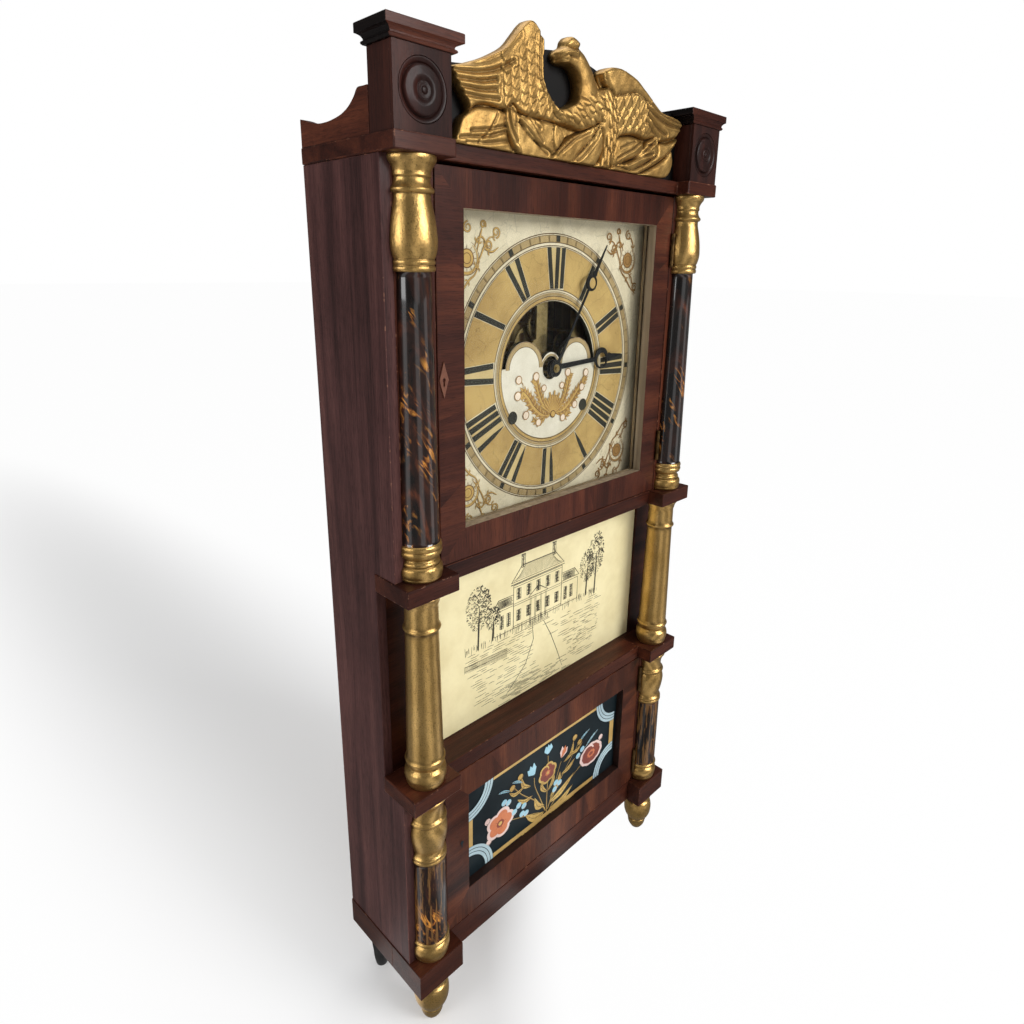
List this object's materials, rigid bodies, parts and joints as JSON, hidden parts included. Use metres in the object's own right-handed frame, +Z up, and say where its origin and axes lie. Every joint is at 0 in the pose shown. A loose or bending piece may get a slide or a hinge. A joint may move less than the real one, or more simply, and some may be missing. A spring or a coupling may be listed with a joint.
{
  "type": "triple decker shelf clock",
  "caption": "Mahogany triple decker shelf clock with half columns, two doors and a weight movement.",
  "frame": {"origin": "middle of the footprint's bounding box, on the floor under the feet", "axes": "+X to the right seen from the front, the front faces -Y, +Z up"},
  "size_m": [0.45, 0.132, 0.9835],
  "materials": {
    "mahogany": "satin",
    "dark_wood": "satin",
    "pine": "matt",
    "gilt": "satin",
    "ebonised": "gloss",
    "dial_paint": "satin",
    "clear_glass": "clear",
    "cream_glass": "painted behind",
    "dark_glass": "painted behind",
    "brass": "satin",
    "steel": "satin",
    "iron": "matt",
    "black_steel": "satin",
    "bone": "satin",
    "bell_metal": "polished",
    "tortoiseshell": "gloss"
  },
  "bodies": {
    "case": {"back_board": "pine", "base_frame": "mahogany", "bell": "bell_metal", "chimney_caps": "mahogany", "chimney_rosettes": "mahogany", "chimneys": "mahogany", "dial_board": "dial_paint", "eagle_crest": "gilt", "fixed_hinge_leaves": "brass", "floor_board": "pine", "front_feet": "gilt", "ledges": "mahogany", "lower_columns": "tortoiseshell", "lower_stiles": "mahogany", "middle_columns": "gilt", "middle_frame": "mahogany", "middle_tablet": "cream_glass", "movement_back_plate": "brass", "movement_front_plate": "brass", "movement_seat": "pine", "pulley_brackets": "iron", "rear_feet": "ebonised", "side_boards": "mahogany", "side_galleries": "mahogany", "splat_board": "ebonised", "top_board": "mahogany", "upper_columns": "tortoiseshell", "upper_stiles": "mahogany", "weight_channel_boards": "pine"},
    "upper_door": {"upper_door_frame": "mahogany", "upper_door_glass": "clear_glass", "upper_door_hinge_leaves": "brass", "lock_escutcheon": "bone"},
    "lock_bolt_body": {"lock_bolt": "brass"},
    "lower_door": {"lower_door_frame": "mahogany", "lower_door_glass": "dark_glass", "lower_door_hinge_leaves": "brass"},
    "time_great": {"time_great_wheel": "brass"},
    "time_second": {"time_second_wheel": "brass"},
    "centre": {"centre_arbor": "brass", "minute_hand": "black_steel"},
    "time_third": {"time_third_wheel": "brass"},
    "escape": {"escape_wheel": "brass"},
    "motion_wheel": {"minute_wheel": "brass"},
    "hour": {"hour_wheel": "brass", "hour_hand": "black_steel"},
    "verge_body": {"verge": "steel"},
    "pendulum": {"pendulum_rod": "steel", "pendulum_bob": "brass"},
    "time_weight_body": {"time_weight": "iron"},
    "strike_weight_body": {"strike_weight": "iron"},
    "time_pulley": {"pulley_left": "dark_wood"},
    "strike_pulley": {"pulley_right": "dark_wood"},
    "time_drum_body": {"time_drum": "brass"},
    "strike_drum_body": {"strike_drum": "brass"},
    "strike_great": {"strike_great_wheel": "brass"},
    "strike_second": {"strike_second_wheel": "brass"},
    "strike_third": {"strike_third_wheel": "brass"},
    "fly_body": {"strike_fly": "steel"},
    "hammer_body": {"strike_hammer": "steel"}
  },
  "joints": [
    {"name": "upper_door_hinge", "type": "hinge", "parent": "case", "child": "upper_door", "pos_m": [0.1685, -0.0454, 0.698], "axis": [0, 0, 1], "range_deg": [0, 105]},
    {"name": "lock_bolt_slide", "type": "slide", "parent": "upper_door", "child": "lock_bolt_body", "axis": [-1, 0, 0], "range_m": [0, 0.005]},
    {"name": "lower_door_hinge", "type": "hinge", "parent": "case", "child": "lower_door", "pos_m": [0.1685, -0.0454, 0.193], "axis": [0, 0, 1], "range_deg": [0, 105]},
    {"name": "time_great_wheel_turn", "type": "hinge", "parent": "case", "child": "time_great", "pos_m": [-0.0545, 0.027, 0.646], "axis": [0, -1, 0], "continuous": true},
    {"name": "time_second_wheel_turn", "type": "hinge", "parent": "case", "child": "time_second", "pos_m": [-0.0288, 0.017, 0.67665], "axis": [0, -1, 0], "continuous": true},
    {"name": "centre_arbor_turn", "type": "hinge", "parent": "case", "child": "centre", "pos_m": [0, -0.003, 0.6915], "axis": [0, -1, 0], "continuous": true},
    {"name": "time_third_wheel_turn", "type": "hinge", "parent": "case", "child": "time_third", "pos_m": [-0.00861, 0.017, 0.71369], "axis": [0, -1, 0], "continuous": true},
    {"name": "escape_wheel_turn", "type": "hinge", "parent": "case", "child": "escape", "pos_m": [0, 0.017, 0.7335], "axis": [0, -1, 0], "continuous": true},
    {"name": "minute_wheel_turn", "type": "hinge", "parent": "case", "child": "motion_wheel", "pos_m": [0, -0.008, 0.6735], "axis": [0, -1, 0], "continuous": true},
    {"name": "hour_wheel_turn", "type": "hinge", "parent": "case", "child": "hour", "pos_m": [0, -0.013, 0.6915], "axis": [0, -1, 0], "continuous": true},
    {"name": "pendulum_swing", "type": "hinge", "parent": "case", "child": "pendulum", "pos_m": [0, 0.046, 0.7585], "axis": [0, -1, 0], "range_deg": [-3, 3]},
    {"name": "verge_rock", "type": "hinge", "parent": "case", "child": "verge_body", "pos_m": [0, 0.017, 0.7585], "axis": [0, -1, 0], "range_deg": [-3, 3]},
    {"name": "time_weight_travel", "type": "slide", "parent": "case", "child": "time_weight_body", "axis": [0, 0, 1], "range_m": [0, 0.45]},
    {"name": "strike_weight_travel", "type": "slide", "parent": "case", "child": "strike_weight_body", "axis": [0, 0, 1], "range_m": [0, 0.45]},
    {"name": "time_pulley_turn", "type": "hinge", "parent": "case", "child": "time_pulley", "pos_m": [-0.1655, 0.02, 0.847], "axis": [0, -1, 0], "range_deg": [-1900, 1900]},
    {"name": "strike_pulley_turn", "type": "hinge", "parent": "case", "child": "strike_pulley", "pos_m": [0.1655, 0.02, 0.847], "axis": [0, -1, 0], "range_deg": [-1900, 1900]},
    {"name": "time_drum_turn", "type": "hinge", "parent": "case", "child": "time_drum_body", "pos_m": [-0.0545, 0.007, 0.646], "axis": [0, -1, 0], "range_deg": [-1100, 1100]},
    {"name": "strike_drum_turn", "type": "hinge", "parent": "case", "child": "strike_drum_body", "pos_m": [0.0545, 0.007, 0.646], "axis": [0, -1, 0], "range_deg": [-1100, 1100]},
    {"name": "strike_great_wheel_turn", "type": "hinge", "parent": "case", "child": "strike_great", "pos_m": [0.0545, 0.027, 0.646], "axis": [0, -1, 0], "continuous": true},
    {"name": "strike_second_wheel_turn", "type": "hinge", "parent": "case", "child": "strike_second", "pos_m": [0.06145, 0.017, 0.68539], "axis": [0, -1, 0], "continuous": true},
    {"name": "strike_third_wheel_turn", "type": "hinge", "parent": "case", "child": "strike_third", "pos_m": [0.05331, 0.017, 0.70776], "axis": [0, -1, 0], "continuous": true},
    {"name": "fly_turn", "type": "hinge", "parent": "case", "child": "fly_body", "pos_m": [0.05331, 0.017, 0.72456], "axis": [0, -1, 0], "continuous": true},
    {"name": "hammer_lift", "type": "hinge", "parent": "case", "child": "hammer_body", "pos_m": [-0.024, 0.017, 0.756], "axis": [0, -1, 0], "range_deg": [-0.6, 12]}
  ],
  "couplings": [
    {"joint": "time_second_wheel_turn", "follows": "time_great_wheel_turn", "ratio": -9},
    {"joint": "centre_arbor_turn", "follows": "time_great_wheel_turn", "ratio": 72},
    {"joint": "time_third_wheel_turn", "follows": "time_great_wheel_turn", "ratio": -540},
    {"joint": "escape_wheel_turn", "follows": "time_great_wheel_turn", "ratio": 4320},
    {"joint": "minute_wheel_turn", "follows": "time_great_wheel_turn", "ratio": -24},
    {"joint": "hour_wheel_turn", "follows": "time_great_wheel_turn", "ratio": 6},
    {"joint": "strike_second_wheel_turn", "follows": "strike_great_wheel_turn", "ratio": -9},
    {"joint": "strike_third_wheel_turn", "follows": "strike_great_wheel_turn", "ratio": 67.5},
    {"joint": "fly_turn", "follows": "strike_great_wheel_turn", "ratio": -405},
    {"joint": "verge_rock", "follows": "pendulum_swing", "ratio": 1},
    {"joint": "time_pulley_turn", "follows": "time_weight_travel", "rad_per_m": -71.429},
    {"joint": "time_drum_turn", "follows": "time_weight_travel", "rad_per_m": 41.667},
    {"joint": "strike_pulley_turn", "follows": "strike_weight_travel", "rad_per_m": 71.429},
    {"joint": "strike_drum_turn", "follows": "strike_weight_travel", "rad_per_m": -41.667}
  ]
}
